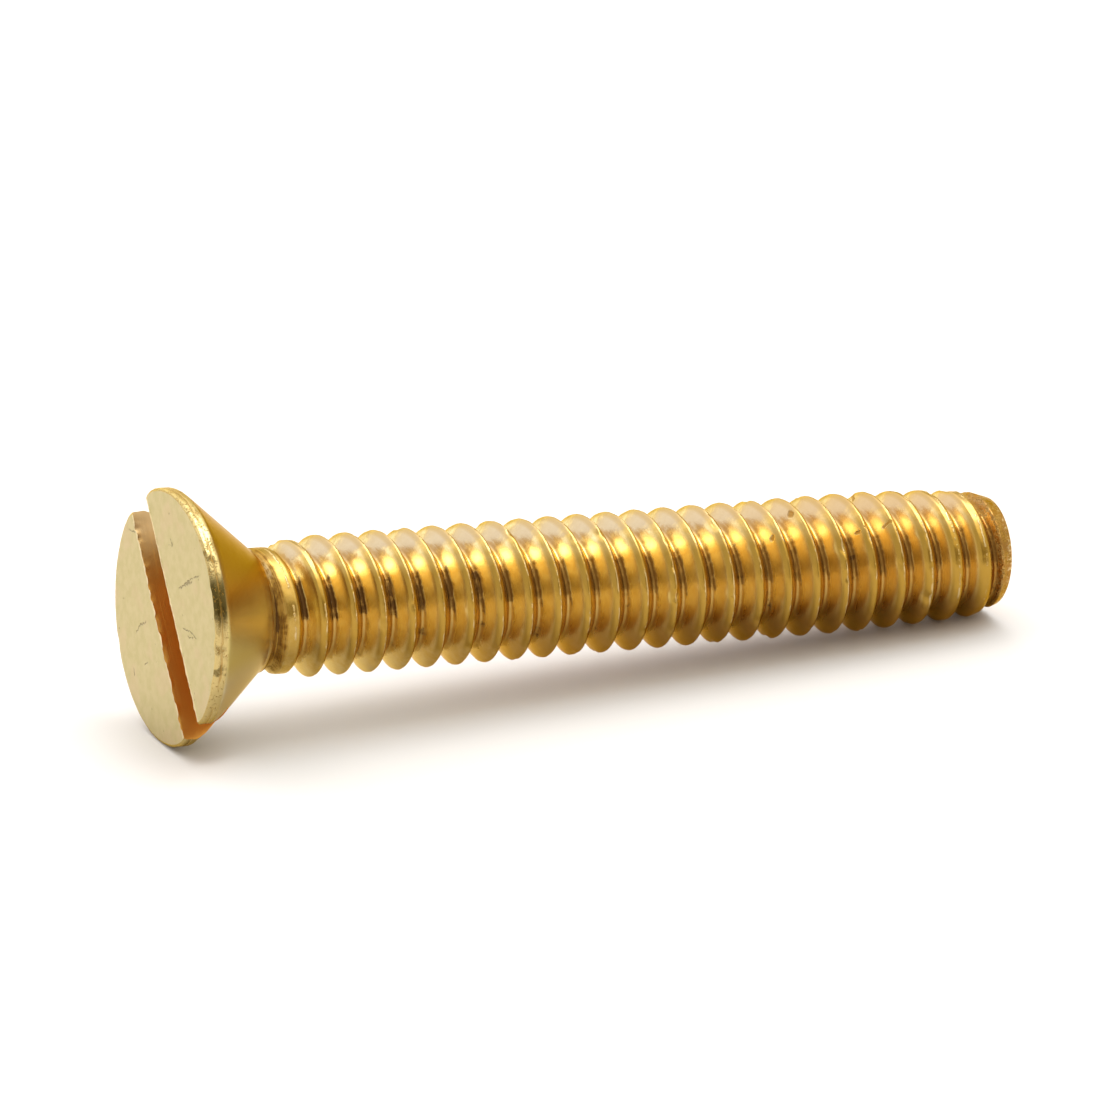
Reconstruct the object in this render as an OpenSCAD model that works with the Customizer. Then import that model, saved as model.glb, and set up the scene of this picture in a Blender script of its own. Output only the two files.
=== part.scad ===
// Slotted machine screw with a flat countersunk head, one piece of brass, in millimetres.
// The screw is built standing on its face, with +Z from the face to the point, and is then
// laid down as it comes to rest: on the rim of its head and on a crest near its point.
// Lying, +X runs from the head to the point and +Z is up. The origin is on the surface that
// it lies on, under the middle of its box.

/* [Head] */
// Diameter over the rim
head_d = 8.57; // [8.4:0.01:9.2]
// Height of the upright land around the rim
rim_h = 0.43; // [0.25:0.01:0.6]
// Full angle of the countersunk cone, in degrees
cone_angle = 82; // [80:1:84]
// Bevel that breaks the edge of the face
edge_break = 0.05; // [0.02:0.01:0.1]

/* [Slot] */
// Width of the driving slot
slot_w = 1.38; // [1.27:0.01:1.52]
// Depth of the driving slot, from the face
slot_depth = 1.25; // [1.07:0.01:1.42]
// Turn of the slot from upright as the screw lies, in degrees
slot_turn = -40.6; // [-75:0.1:75]

/* [Thread] */
// Distance from crest to crest: 24 turns to the inch
pitch = 1.0583; // [1.0:0.0001:1.1]
// Diameter over the full crests
crest_d = 4.64; // [4.6:0.01:4.82]
// Diameter of the rolled blank, which stays bare at the neck
blank_d = 4.06; // [4.0:0.01:4.12]
// Diameter at the bottom of the groove
root_d = 3.45; // [3.4:0.01:3.55]
// Angle between a flank and a plane square to the axis, in degrees
flank_angle = 30; // [29:0.5:31]
// Distance from the face to a crest on the lower side, which sets where the helix starts
crest_start = 3.99; // [3.5:0.01:4.5]

/* [Length] */
// Overall length, from the face to the point
length = 30.27; // [20:0.01:31.75]
// Length of the bevelled point
point_l = 0.95; // [0.5:0.05:1.5]
// Diameter of the flat end of the point
point_d = 3.65; // [3.0:0.05:4.0]
// Length over which the last crests fall short of full height
taper_l = 4.8; // [2:0.1:8]
// How far the crest at the end of that length falls short, in radius
taper_drop = 0.17; // [0:0.01:0.25]

/* [Hidden] */

// Head
rim_r = head_d / 2;
cone_run = 1 / tan(cone_angle / 2);
inner_r = root_d / 4;
inner_z = rim_h + (rim_r - inner_r) * cone_run;
head_fn = 96;

// Groove that the dies roll: its corners follow straight flanks from a narrow floor
blank_r = blank_d / 2;
crest_rise = (crest_d - blank_d) / 2;
groove_depth = (blank_d - root_d) / 2;
flank_run = tan(flank_angle);
floor_half = pitch / 4 - groove_depth * flank_run;
corners = 4;

// The groove starts shallow at the neck, where the cone ends, and the crest swells after it
neck_z = rim_h + (rim_r - blank_r) * cone_run;
groove_start = neck_z - 0.6;
groove_full = neck_z + 1.4;
swell_start = neck_z + 0.15;
swell_full = neck_z + 2.0;
least = 0.12;

// Steps of the helix, and the turns from inside the head to past the point
steps = 36;
first_groove = crest_start - 2.5 * pitch;
turns = ceil((length - first_groove) / pitch) + 2;
columns = corners * turns;

// Share of the way from one place on the axis to another, kept between a floor and 1
function share(z, from, to, floor = 0) = max(floor, min(1, (z - from) / (to - from)));

// How much of its full depth the groove has, and how far the crest beside it has risen
function groove_share(z) = share(z, groove_start, groove_full, least);
function crest_r(z) = blank_r
    + crest_rise * share(z, swell_start, swell_full, least)
    - taper_drop * share(z, length - taper_l, length - point_l);

// Corner of the groove at one place of the helix: which side of its centre, and crest or floor
function corner(centre_z, angle, side, at_crest) =
    let (depth = groove_depth * groove_share(centre_z),
         top_r = crest_r(centre_z + side * pitch / 2),
         half = floor_half + (at_crest ? (top_r - blank_r + depth) * flank_run : 0),
         r = at_crest ? top_r : blank_r - depth)
    [r * cos(angle), r * sin(angle), centre_z + side * half];

function thread_point(step, column) =
    let (turn = floor(column / corners),
         place = column % corners,
         angle = 360 * step / steps,
         centre_z = first_groove + pitch * (turn + step / steps))
    corner(centre_z, angle, place < 2 ? -1 : 1, place == 0 || place == 3);

// Number of a point in the list: the first step holds one more turn, where the last one joins it
function point_at(step, column) =
    step == steps ? column + corners
    : step == 0 ? column
    : columns + corners + (step - 1) * columns + column;

// A crest on the lower side, counted from the head, and the tilt at which it touches
crests = round((length - point_l - crest_start) / pitch);
function crest_z(n) = crest_start + n * pitch;
function touch_angle(z) = atan2(rim_r - crest_r(z), z - rim_h);
tilt = min([for (n = [1:crests]) touch_angle(crest_z(n))]);

// Ends of the lying screw along +X, and the height of its face's middle above the surface
back_x = -(rim_r - edge_break) * sin(tilt);
front_x = length * cos(tilt) + point_d / 2 * sin(tilt);
face_height = rim_r * cos(tilt) + rim_h * sin(tilt);

// Threaded rod: one groove wound from inside the head to past the point, closed at both ends
module rolled_rod() {
    side_points = concat(
        [for (column = [0:columns + corners - 1]) thread_point(0, column)],
        [for (step = [1:steps - 1], column = [0:columns - 1]) thread_point(step, column)]);
    head_end = len(side_points);
    point_end = head_end + 1;
    end_points = [[0, 0, first_groove - pitch / 2], [0, 0, first_groove + turns * pitch]];
    sides = [for (step = [0:steps - 1], column = [0:columns - 2])
        let (a = point_at(step, column), b = point_at(step + 1, column),
             c = point_at(step + 1, column + 1), d = point_at(step, column + 1))
        each [[a, c, b], [a, d, c]]];
    head_cap = [for (step = [0:steps - 1])
        [head_end, point_at(step, 0), point_at(step + 1, 0)]];
    head_step = [for (column = [0:corners - 1])
        [head_end, point_at(0, column + 1), point_at(0, column)]];
    point_cap = [for (step = [0:steps - 1])
        [point_end, point_at(step + 1, columns - 1), point_at(step, columns - 1)]];
    point_step = [for (column = [columns - 1:columns + corners - 2])
        [point_end, point_at(0, column), point_at(0, column + 1)]];
    polyhedron(concat(side_points, end_points),
        concat(sides, head_cap, head_step, point_cap, point_step));
}

// Outer form of the shank: a sleeve clear of the crests that ends in the bevelled point
module shank_form() {
    clear_r = crest_d / 2 + 0.2;
    bevel_run = (crest_d / 2 - taper_drop - point_d / 2) / point_l;
    bevel_l = (clear_r - point_d / 2) / bevel_run;
    rotate_extrude($fn = head_fn)
        polygon([[0, first_groove - pitch], [clear_r, first_groove - pitch],
            [clear_r, length - bevel_l], [point_d / 2, length], [0, length]]);
}

// Head blank: face, broken edge, upright land and cone, which runs on inside the shank
module head_blank() {
    rotate_extrude($fn = head_fn)
        polygon([[0, 0], [rim_r - edge_break, 0], [rim_r, edge_break],
            [rim_r, rim_h], [inner_r, inner_z], [0, inner_z]]);
}

// Sawn slot, right across the head
module slot() {
    rotate([0, 0, slot_turn])
        translate([-head_d, -slot_w / 2, -1])
            cube([2 * head_d, slot_w, slot_depth + 1]);
}

module screw() {
    color([0.80, 0.62, 0.27])
        translate([-(back_x + front_x) / 2, 0, face_height])
            rotate([0, 90 + tilt, 0])
                difference() {
                    union() {
                        head_blank();
                        intersection() {
                            rolled_rod();
                            shank_form();
                        }
                    }
                    slot();
                }
}

screw();
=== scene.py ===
"""Slotted brass machine screw with a flat countersunk head, lying on a pale studio floor.

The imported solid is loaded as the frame. One fine surface stands for it: the same head, slot,
rolled thread and bevelled point, worked out on grids, with its broken edges, burrs and dents.
Lengths in the classes are millimetres. Meshes are written in metres, in the frame's axes.
"""

import logging
import math
from dataclasses import dataclass, field
from enum import Enum

import bmesh
import bpy
import numpy as np
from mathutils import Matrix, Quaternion, Vector


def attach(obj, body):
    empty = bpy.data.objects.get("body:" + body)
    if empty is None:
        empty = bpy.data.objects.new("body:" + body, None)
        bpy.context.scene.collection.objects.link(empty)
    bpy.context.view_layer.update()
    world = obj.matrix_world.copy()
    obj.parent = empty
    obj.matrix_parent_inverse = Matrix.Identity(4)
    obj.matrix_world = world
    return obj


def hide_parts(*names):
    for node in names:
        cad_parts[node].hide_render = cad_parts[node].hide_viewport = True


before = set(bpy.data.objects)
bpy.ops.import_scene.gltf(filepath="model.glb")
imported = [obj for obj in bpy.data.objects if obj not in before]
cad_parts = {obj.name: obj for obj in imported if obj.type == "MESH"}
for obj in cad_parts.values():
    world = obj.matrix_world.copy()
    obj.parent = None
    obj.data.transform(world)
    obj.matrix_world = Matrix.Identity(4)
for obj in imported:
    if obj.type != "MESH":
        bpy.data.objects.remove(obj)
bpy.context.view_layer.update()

LOG = logging.getLogger("machine_screw")
TAU = 2 * math.pi
MM = 0.001

Array = np.ndarray
Span = tuple[float, float]
Place = tuple[float, float, float]
Colour = tuple[float, float, float]


def share(value: Array, start: float, end: float, least: float = 0.0) -> Array:
    """How far each value is on its way from start to end, kept between least and 1."""
    return np.clip((value - start) / (end - start), least, 1.0)


def ease(value: Array) -> Array:
    """Smooth step: three times the square less twice the cube of a value kept within 0 to 1."""
    held = np.clip(value, 0.0, 1.0)
    return held * held * (3 - 2 * held)


def blend_low(first: Array, second: Array, width: float) -> Array:
    """Lower of two heights, less a quarter of width times the square of how close they are."""
    close = np.maximum(width - np.abs(first - second), 0.0) / width
    return np.minimum(first, second) - close * close * width / 4


def blend_high(first: Array, second: Array, width: float) -> Array:
    """Higher of two heights with a rounded meeting line."""
    return -blend_low(-first, -second, width)


def short_of_edge(distance: Array, size: float) -> Array:
    """How far an edge rounded by a quarter circle of a size falls short, that far from its end."""
    left = np.clip(1 - distance / size, 0.0, 1.0)
    return size * (1 - np.sqrt(1 - left * left))


def faded(first: Array, second: Array, spans: tuple[Span, Span]) -> Array:
    """Product of the smooth steps of two distances, each over its own span."""
    return ease(share(first, *spans[0])) * ease(share(second, *spans[1]))


@dataclass(frozen=True)
class Wander:
    """Smooth random field: a sum of sine waves in random directions.

    Attributes:
        seed: Seed of the directions and phases.
        length: Mean wave length, in millimetres.
        waves: Number of waves.
    """

    seed: int
    length: float
    waves: int = 14

    def at(self, points: Array) -> Array:
        """Field at each point: the sum of the sines over the root of half their number.

        Args:
            points: Points, with their three coordinates last.

        Returns:
            Values of about -2 to 2, one for each point.
        """
        draw = np.random.default_rng(self.seed)
        way = draw.normal(size=(self.waves, 3))
        way /= np.linalg.norm(way, axis=1, keepdims=True)
        way *= TAU / self.length * draw.uniform(0.6, 1.6, size=(self.waves, 1))
        phase = draw.uniform(0, TAU, size=self.waves)
        return np.sin(points @ way.T + phase).sum(axis=-1) / math.sqrt(self.waves / 2)


@dataclass(frozen=True)
class HeadSizes:
    """Sizes of the countersunk head."""

    rim_r: float = 4.281
    rim_h: float = 0.43
    cone_half_angle: float = math.radians(41.0)
    edge_break: float = 0.09
    corner_blend: float = 0.09
    neck_fillet: float = 0.12

    def cone_radius(self, z: Array) -> Array:
        """Radius of land and cone: the rim's, falling by the cone's slope past the land."""
        cone = self.rim_r - (z - self.rim_h) * math.tan(self.cone_half_angle)
        return blend_low(np.full_like(cone, self.rim_r), cone, self.corner_blend)

    def outline(self, z: Array) -> Array:
        """Radius of the head, with the edge of its face rounded by a quarter circle."""
        return self.cone_radius(z) - short_of_edge(z, self.edge_break)


@dataclass(frozen=True)
class SlotSizes:
    """Sizes of the driving slot, and its turn from upright as the screw lies."""

    half_width: float = 0.69
    depth: float = 1.25
    turn: float = math.radians(-40.6)

    def along_across(self, x: "Array | Signal", y: "Array | Signal") -> tuple:
        """Distances along the slot, towards its lower end, and across it."""
        c, k = math.cos(self.turn), math.sin(self.turn)
        return x * c + y * k, y * c - x * k

    def turned(self, along: Array, across: Array) -> tuple[Array, Array]:
        """The upright screw's two coordinates from distances along the slot and across it."""
        c, k = math.cos(self.turn), math.sin(self.turn)
        return along * c - across * k, along * k + across * c


@dataclass(frozen=True)
class ThreadSizes:
    """Sizes of the rolled thread, 24 turns to the inch, with its run-out and its taper.

    The groove grows over the span run_out and the crest over the span swell, both measured
    from the neck. The crest falls by taper_drop over the span taper, measured from the face.
    """

    pitch: float = 1.0583
    crest_r: float = 2.345
    blank_r: float = 2.03
    root_r: float = 1.725
    flank_run: float = math.tan(math.radians(32.5))
    crest_start: float = 3.99
    neck_z: float = 3.024
    least: float = 0.12
    run_out: Span = (-1.0, 1.4)
    swell: Span = (0.15, 2.0)
    taper: Span = (25.47, 29.32)
    taper_drop: float = 0.185
    crest_blend: float = 0.135
    floor_trim: float = 0.012

    @property
    def groove_depth(self) -> float:
        """Depth of the full groove under the blank."""
        return self.blank_r - self.root_r

    @property
    def floor_half(self) -> float:
        """Half the width that a flat floor of the groove would have."""
        return self.pitch / 4 - self.groove_depth * self.flank_run - self.floor_trim

    @property
    def root(self) -> float:
        """Radius of the arc in the groove: the flat floor's half width over the flank's run."""
        return self.floor_half / self.flank_run

    @property
    def root_end(self) -> float:
        """Distance from the groove's middle to the arc's end: its radius times cosine of 30."""
        return self.root * math.cos(math.pi / 6)

    def crest_at(self, z: Array) -> Array:
        """Radius of a crest whose middle is at z: it swells past the neck and then tapers."""
        rise = share(z - self.neck_z, *self.swell, self.least)
        fall = share(z, *self.taper)
        return self.blank_r + (self.crest_r - self.blank_r) * rise - self.taper_drop * fall

    def depth_at(self, z: Array) -> Array:
        """Depth under the blank of a groove whose middle is at z, shallow at the neck."""
        return self.groove_depth * share(z - self.neck_z, *self.run_out, self.least)

    def split(self, angle: Array, z: Array) -> tuple[Array, Array]:
        """Distances along the axis to the middle of the nearest crest and groove.

        Crests follow a right-hand helix: one turn moves them on by one pitch.

        Args:
            angle: Angles round the axis, in radians.
            z: Distances from the face.

        Returns:
            The signed distance past the crest's middle, and the distance to the groove's.
        """
        ahead = z - self.crest_start - self.pitch * angle / TAU
        past = ahead - self.pitch * np.round(ahead / self.pitch)
        return past, self.pitch / 2 - np.abs(past)

    def profile(self, angle: Array, z: Array) -> tuple[Array, Array]:
        """Radius of the thread: straight flanks between a rounded root and a narrow crest.

        The root is an arc that touches the groove's bottom. It would run on into flanks at 30
        degrees. These lie at 32.5, so it ends about 0.013 mm above them. Flanks and crest
        blend into a dome.

        Args:
            angle: Angles round the axis, in radians.
            z: Distances from the face.

        Returns:
            The radii, and how deep in the groove each place is, from 0 to 1.
        """
        past, groove = self.split(angle, z)
        bottom = self.blank_r - self.depth_at(z + np.copysign(groove, past))
        top = self.crest_at(z - past)
        root = self.root
        arc = root - np.sqrt(np.maximum(root * root - groove * groove, 0.0))
        flank = (groove - self.floor_half) / self.flank_run
        wall = bottom + np.where(groove < self.root_end, arc, flank)
        radius = blend_low(wall, top, self.crest_blend)
        return radius, (top - radius) / (top - bottom)


@dataclass(frozen=True)
class PointSizes:
    """Sizes of the bevelled point."""

    length: float = 30.27
    bevel: float = 0.95
    end_r: float = 1.825
    full_r: float = 2.15
    rounding: float = 0.09
    blend: float = 0.04

    def outline(self, z: Array) -> Array:
        """Radius of the bevel, which grows evenly from the flat end's rounded edge."""
        from_end = self.length - z
        slope = (self.full_r - self.end_r) / self.bevel
        return self.end_r + slope * from_end - short_of_edge(from_end, self.rounding)


@dataclass(frozen=True)
class Lie:
    """How the screw lies: tilted so that the head's rim and a crest touch the floor."""

    tilt: float = math.radians(4.21647)
    shift_x: float = -15.00546
    face_height: float = 4.3025

    def place(self, local: Array) -> Array:
        """Places of points of the upright screw once it lies, in metres.

        The axis turns to point along +X and down by the tilt, local +X points down, and the
        middle of the face goes to its height.

        Args:
            local: Points in millimetres, the axis along +Z from the face.

        Returns:
            Points in metres in the frame's axes.
        """
        x, y, z = local[..., 0], local[..., 1], local[..., 2]
        s, c = math.sin(self.tilt), math.cos(self.tilt)
        out = [z * c - x * s + self.shift_x, y, self.face_height - x * c - z * s]
        return np.stack(out, axis=-1) * MM


@dataclass(frozen=True)
class Wear:
    """Dents, burrs and ragged crests: shifts that depend on a point's place alone.

    Attributes:
        dents: Field of the wide dents on the head's edges and on the crests.
        nibbles: Field of the small ones.
        burrs: Field of the torn metal along the slot's edges.
        spared: What the wide dents must pass before they mark the land, and the crests.
        dent_depth: Depth of the wide dents on the land, and on the crests.
        nibble_depth: Depth of the small dents on the land, and on the crests.
        land_fade: Distances past the rim's radius, and from the face, between which the
            land's dents fade.
        crest_fade: Distances past the crest's radius, and past the neck, between which the
            crests' dents fade.
        tip_depth: How far the slot's four tips are rounded.
        tip_reach: Distance over which that rounding fades.
        tip_fade: Distances past the rim's radius, and from the face, between which it fades.
        burr_size: How far the burr waves across the slot and stands up.
        burr_reach: Distances from the edge and down the slot over which it fades.
        burr_fade: Distances past the rim's radius between which it fades.
        burr_nibbles: Share of the small dents' field in the burr.
    """

    head: HeadSizes
    slot: SlotSizes
    thread: ThreadSizes
    dents: Wander = Wander(3, 1.1)
    nibbles: Wander = Wander(11, 0.4)
    burrs: Wander = Wander(38, 0.55)
    spared: Span = (0.8, 1.3)
    dent_depth: Span = (0.05, 0.07)
    nibble_depth: Span = (0.007, 0.004)
    land_fade: tuple[Span, Span] = ((-0.3, -0.04), (0.75, 0.5))
    crest_fade: tuple[Span, Span] = ((-0.17, 0.0), (0.2, 0.7))
    tip_depth: float = 0.16
    tip_reach: float = 0.28
    tip_fade: tuple[Span, Span] = ((-0.7, 0.0), (1.0, 0.2))
    burr_size: float = 0.02
    burr_reach: Span = (0.07, 0.08)
    burr_fade: Span = (-0.2, -0.7)
    burr_nibbles: float = 0.6

    def inward(self, points: Array) -> Array:
        """How far each point moves towards the axis.

        On the land and on the crests: what the wide dents have over the value they are
        spared, and the small dents. At the slot's four tips: a rounding that fades from the
        tip's edge with the exponential of distance.

        Args:
            points: Points of the upright screw.

        Returns:
            The distances.
        """
        x, y, z = points[..., 0], points[..., 1], points[..., 2]
        radius = np.hypot(x, y)
        past_rim, past_crest = radius - self.head.rim_r, radius - self.thread.crest_at(z)
        wide, small = self.dents.at(points), self.nibbles.at(points)
        deep = [d * np.maximum(wide - s, 0) for d, s in zip(self.dent_depth, self.spared)]
        land = deep[0] + self.nibble_depth[0] * np.abs(small)
        crest = deep[1] + self.nibble_depth[1] * (1 + np.clip(small, -1, 2))
        _, across = self.slot.along_across(x, y)
        past_edge = np.abs(across) - self.slot.half_width
        tip = self.tip_depth * np.exp(-np.abs(past_edge) / self.tip_reach)
        return (land * faded(past_rim, z, self.land_fade)
                + crest * faded(past_crest, z - self.thread.neck_z, self.crest_fade)
                + tip * faded(past_rim, z, self.tip_fade))

    def worn(self, points: Array) -> Array:
        """Moves points by their wear.

        Along the slot's edges a burr waves across the slot and stands up from the face. It
        fades with the exponential of the squared distance from the edge and of the depth.

        Args:
            points: Points of the upright screw.

        Returns:
            The moved points.
        """
        x, y, z = points[..., 0], points[..., 1], points[..., 2]
        radius = np.maximum(np.hypot(x, y), 1e-6)
        scale = 1 - self.inward(points) / radius
        _, across = self.slot.along_across(x, y)
        past_edge = np.abs(across) - self.slot.half_width
        wide, deep = self.burr_reach
        fade = np.exp(-((past_edge / wide) ** 2) - np.maximum(z, 0) / deep)
        fade *= (z < self.slot.depth) * ease(share(radius - self.head.rim_r, *self.burr_fade))
        torn = self.burrs.at(points) + self.burr_nibbles * self.nibbles.at(points)
        aside = self.slot.turned(0.0, np.sign(across) * fade * self.burr_size * torn)
        lift = self.burr_size * fade * np.clip(torn, 0, 1.5)
        return np.stack([x * scale + aside[0], y * scale + aside[1], z - lift], axis=-1)


class Finish(Enum):
    """Finishes of the screw's surface, in the order of its material slots."""

    FACE = 0
    SLOT = 1
    BODY = 2


class Patchwork:
    """Collects grids of points into one mesh."""

    def __init__(self) -> None:
        """Starts with no points and no faces."""
        self.points: list[Array] = []
        self.marks: list[Array] = []
        self.faces: list[Array] = []
        self.finishes: list[Array] = []
        self.count = 0

    def hold(self, points: Array, marks: Array | None = None) -> Array:
        """Adds points.

        Args:
            points: Points, with their three coordinates last.
            marks: How deep in the groove each is, and how far past the crest's middle.

        Returns:
            Their numbers, in the shape of the points.
        """
        shape = points.shape[:-1]
        self.points.append(points.reshape(-1, 3))
        marks = np.zeros((*shape, 2)) if marks is None else marks
        self.marks.append(marks.reshape(-1, 2))
        numbers = np.arange(self.count, self.count + math.prod(shape)).reshape(shape)
        self.count += numbers.size
        return numbers

    def skin(self, corners: list[Array], finish: Finish) -> None:
        """Adds one face for each place of the arrays of corner numbers.

        Args:
            corners: One array of numbers for each corner, in order round the face.
            finish: Finish of the faces.
        """
        made = np.stack([c.reshape(-1) for c in corners], axis=-1)
        self.faces.append(made)
        self.finishes.append(np.full(len(made), finish.value))

    def grid(self, points: Array, finish: Finish, marks: Array | None = None) -> Array:
        """Adds a grid of points and the four-sided faces between them.

        Args:
            points: Rows and columns of points.
            finish: Finish of the faces.
            marks: How deep in the groove each point is, and how far past the crest's middle.

        Returns:
            The numbers of the points.
        """
        n = self.hold(points, marks)
        self.skin([n[:-1, :-1], n[:-1, 1:], n[1:, 1:], n[1:, :-1]], finish)
        return n

    def join_halved(self, fine: Array, coarse: Array, finish: Finish) -> None:
        """Joins a row to one with half as many columns, with a five-sided face for each."""
        corners = [fine[:-2:2], fine[1:-1:2], fine[2::2], coarse[1:], coarse[:-1]]
        self.skin(corners, finish)

    def mesh(self, name: str, wear: Wear, lie: Lie) -> bpy.types.Mesh:
        """Makes the mesh, merges points that coincide and turns its faces outwards.

        Args:
            name: Name of the mesh.
            wear: Dents and burrs that the points get first.
            lie: How the screw lies.

        Returns:
            The mesh, with the points' marks as the attributes groove and past.
        """
        mesh = bpy.data.meshes.new(name)
        faces = [face for block in self.faces for face in block.tolist()]
        points = lie.place(wear.worn(np.concatenate(self.points)))
        mesh.from_pydata(points.tolist(), [], faces)
        mesh.polygons.foreach_set("material_index", np.concatenate(self.finishes))
        marks = np.concatenate(self.marks).astype(np.float32)
        for column, mark in enumerate(("groove", "past")):
            values = mesh.attributes.new(mark, "FLOAT", "POINT")
            values.data.foreach_set("value", np.ascontiguousarray(marks[:, column]))
        work = bmesh.new()
        work.from_mesh(mesh)
        bmesh.ops.remove_doubles(work, verts=work.verts, dist=1e-4 * MM)
        bmesh.ops.dissolve_degenerate(work, dist=1e-5 * MM, edges=work.edges)
        bmesh.ops.recalc_face_normals(work, faces=work.faces)
        open_edges = sum(not edge.is_manifold for edge in work.edges)
        work.to_mesh(mesh)
        work.free()
        LOG.info("%s: %d points, %d faces, %d open edges",
                 name, len(mesh.vertices), len(mesh.polygons), open_edges)
        return mesh


@dataclass
class MachineScrew:
    """The screw: head, slot, threaded shank and point, as one surface.

    Attributes:
        columns: Columns of points round the shank. The head has twice as many.
        notch_columns: Columns across each end of the slot.
        side_columns: Columns round each side of the head between them.
        turns: Turns of the helical rows.
        face_rows: Rows of each half of the face, from the slot to the rim.
        face_crowding: Power that draws those rows together towards the slot.
        corner_rows: Places of the rows at the land's lower corner, past that corner.
        crest_rows: Places of the rows on a crest and its dome, in halves of the flat crest
            that straight flanks would leave. The last is where a flank's even rows start.
        ring_gap: Distance from the ring under the slot to the first helical row.
        sharp: Angle from which an edge is shaded as a sharp one.
    """

    head: HeadSizes = field(default_factory=HeadSizes)
    slot: SlotSizes = field(default_factory=SlotSizes)
    thread: ThreadSizes = field(default_factory=ThreadSizes)
    point: PointSizes = field(default_factory=PointSizes)
    lie: Lie = field(default_factory=Lie)
    columns: int = 128
    notch_columns: int = 16
    side_columns: int = 112
    turns: int = 26
    face_rows: int = 41
    face_crowding: float = 1.5
    corner_rows: tuple[float, ...] = (-0.02, -0.008, 0.004, 0.016, 0.04)
    crest_rows: tuple[float, ...] = (0.0, 0.35, 0.75, 1.15, 1.6, 2.2)
    ring_gap: float = 0.07
    sharp: float = math.radians(50)

    @property
    def seam_angle(self) -> float:
        """Angle round the axis at which the grids start: one edge of the slot's lower end."""
        return self.slot.turn - TAU * self.notch_columns / (4 * self.columns)

    @property
    def ring_z(self) -> float:
        """Place on the cone where the helical rows start: a crest's line carried back."""
        lead = self.thread.pitch * (self.seam_angle / TAU - 2)
        return self.thread.crest_start + lead

    def at(self, radius: Array, angle: Array, z: Array) -> Array:
        """Points from radius, angle from the local +X axis and distance from the face."""
        parts = np.broadcast_arrays(radius * np.cos(angle), radius * np.sin(angle), z)
        return np.stack(parts, axis=-1)

    def shank(self, angle: Array, z: Array) -> tuple[Array, Array]:
        """Radius of cone, neck, thread and point together.

        The higher of cone and thread, with a small fillet between them at the neck, and the
        lower of that and the bevel.

        Args:
            angle: Angles round the axis.
            z: Distances from the face.

        Returns:
            The radii, and for each place how deep in the groove and how far past the crest's
            middle it is.
        """
        radius, depth = self.thread.profile(angle, z)
        past, _ = self.thread.split(angle, z)
        on_shank = ease(share(z, self.thread.neck_z - 0.1, self.thread.neck_z + 0.15))
        marks = np.stack([depth * on_shank, past], axis=-1)
        radius = blend_high(radius, self.head.outline(z), self.head.neck_fillet)
        return blend_low(radius, self.point.outline(z), self.point.blend), marks

    def slot_ring(self, radius: Array) -> Array:
        """Angles of rings whose columns leave the slot's two ends their own columns.

        Across an end, the columns are evenly spaced over the slot's width. Between the ends
        they are evenly spaced in angle.

        Args:
            radius: One radius for each ring.

        Returns:
            Angles, one row for each ring.
        """
        half = self.slot.half_width
        across = np.linspace(-half, half, self.notch_columns + 1)
        notch = np.arcsin(across / radius[:, None])
        edge = notch[:, -1:]
        along = np.linspace(0, 1, self.side_columns + 1)
        side = edge + (math.pi - 2 * edge) * along
        ring = np.concatenate(
            [notch[:, :-1], side[:, :-1], math.pi + notch[:, :-1], math.pi + side], axis=1)
        return self.slot.turn + ring

    def by_slot(self, along: Array, across: Array, z: Array) -> Array:
        """Points from distances along the slot, across it and from the face."""
        return np.stack(np.broadcast_arrays(*self.slot.turned(along, across), z), axis=-1)

    def head_levels(self) -> Array:
        """Distances from the face of the rows between the face and the slot's floor."""
        edge = self.head.edge_break * (1 - np.cos(np.linspace(0, math.pi / 2, 5)))
        corner = self.head.rim_h + np.array(self.corner_rows)
        land = np.linspace(self.head.edge_break, corner[0], 7)[1:-1]
        cone = np.linspace(corner[-1], self.slot.depth, 9)[1:]
        return np.concatenate([edge, land, corner, cone])

    def build_head(self, work: Patchwork) -> Array:
        """Adds the face's halves, land, upper cone, slot walls and slot floor.

        Args:
            work: Patchwork that takes them.

        Returns:
            Numbers of the ring under the slot that the shank joins.
        """
        z = self.head_levels()
        radius = self.head.outline(z)
        rings = self.slot_ring(radius)
        last = self.notch_columns + self.side_columns
        half = self.slot.half_width
        reach = np.sqrt(radius**2 - half**2)
        first = rings[0, self.notch_columns:last + 1] - self.slot.turn
        spread = np.cos(first) / math.cos(first[0])
        outwards = np.linspace(0, 1, self.face_rows)[:, None] ** self.face_crowding
        for side, start in ((1, self.notch_columns), (-1, last + self.notch_columns)):
            angles = rings[:, start:start + self.side_columns + 1]
            work.grid(self.at(radius[:, None], angles, z[:, None]), Finish.BODY)
            rim = np.sin(first) * radius[0]
            w = half + (rim - half) * outwards
            s = reach[0] * spread
            face = self.by_slot(side * s, side * w, np.zeros_like(w))
            work.grid(face, Finish.FACE)
            s = reach[:, None] * spread
            work.grid(self.by_slot(side * s, np.full_like(s, side * half), z[:, None]),
                      Finish.SLOT)
        across = np.linspace(-half, half, self.notch_columns + 1)[:, None]
        s = np.sqrt(radius[-1] ** 2 - across**2) * spread
        work.grid(self.by_slot(s, across, np.full_like(s, z[-1])), Finish.SLOT)
        levels = np.linspace(self.slot.depth, self.ring_z - self.ring_gap, 6)
        radius = self.head.outline(levels)
        even = self.seam_angle + TAU * np.linspace(0, 1, 2 * self.columns + 1)
        angles = rings[-1] + (even - rings[-1]) * np.linspace(0, 1, len(levels))[:, None]
        band = self.at(radius[:, None], angles, levels[:, None])
        return work.grid(band, Finish.BODY)[-1]

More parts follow.
